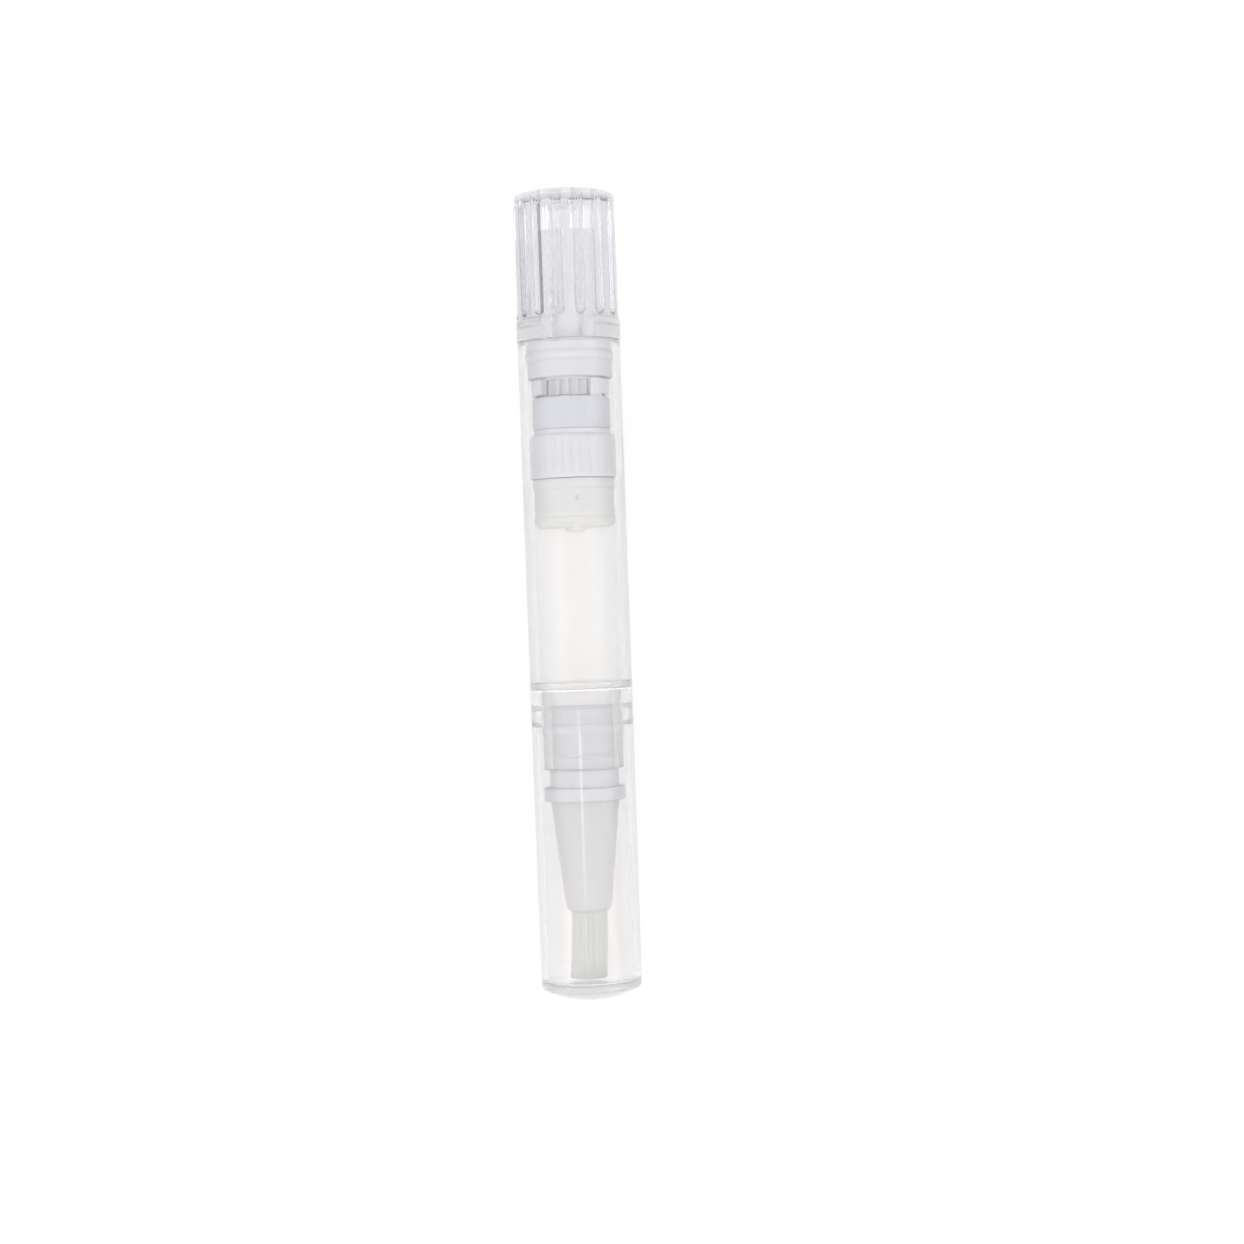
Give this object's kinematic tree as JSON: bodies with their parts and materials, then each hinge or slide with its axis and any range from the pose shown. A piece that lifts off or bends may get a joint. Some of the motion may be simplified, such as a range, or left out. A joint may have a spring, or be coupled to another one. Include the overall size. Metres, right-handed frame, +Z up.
{
  "type": "nail oil pen",
  "caption": "Translucent twist-up cosmetic oil pen with a pull-off cap, a brush tip and a clear ribbed knob that drives a piston by a screw.",
  "frame": {"origin": "on the surface that the pen lies on, under the middle of its length", "axes": "+X along the pen from the cap's dome to the knob's end, +Z up, +Y to the side; the pen's axis is 6.15 mm above the surface"},
  "size_m": [0.095, 0.0122, 0.0123],
  "materials": {
    "barrel_plastic": "semi-clear natural polypropylene, smooth, slightly milky",
    "cap_plastic": "semi-clear natural polypropylene, smooth, slightly milky",
    "knob_plastic": "crystal clear polystyrene, polished",
    "nut_plastic": "milky acetal with a slight lavender cast, satin",
    "ratchet_plastic": "clear polystyrene, polished",
    "rod_plastic": "milky white acetal, smooth",
    "piston_plastic": "milky soft polyethylene, satin",
    "holder_plastic": "milky polypropylene, smooth",
    "plug_plastic": "milky polyethylene, satin",
    "tube_plastic": "natural polyethylene, satin",
    "root_plastic": "melted translucent nylon",
    "bristle_fibre": "translucent grey-white nylon filaments, flat cut"
  },
  "bodies": {
    "barrel": {"barrel": "barrel_plastic", "thread_nut": "nut_plastic", "ratchet_ring": "ratchet_plastic", "brush_holder": "holder_plastic", "flow_plug": "plug_plastic", "feed_tube": "tube_plastic", "bristle_root": "root_plastic", "bristles": "bristle_fibre"},
    "cap": {"cap": "cap_plastic"},
    "knob": {"knob": "knob_plastic"},
    "screw_rod": {"screw_rod": "rod_plastic"},
    "piston": {"piston": "piston_plastic"}
  },
  "joints": [
    {"name": "cap_pull", "type": "slide", "parent": "barrel", "child": "cap", "axis": [-1, 0, 0], "range_m": [0, 0.045]},
    {"name": "knob_twist", "type": "hinge", "parent": "barrel", "child": "knob", "pos_m": [0.03, 0, 0.00615], "axis": [-1, 0, 0], "range_deg": [0, 3150]},
    {"name": "rod_feed", "type": "slide", "parent": "knob", "child": "screw_rod", "axis": [-1, 0, 0], "range_m": [0, 0.0176]},
    {"name": "piston_feed", "type": "slide", "parent": "barrel", "child": "piston", "axis": [-1, 0, 0], "range_m": [0, 0.0175]}
  ],
  "couplings": [
    {"joint": "rod_feed", "follows": "piston_feed", "ratio": 1},
    {"joint": "knob_twist", "follows": "piston_feed", "rad_per_m": 3141.6}
  ]
}
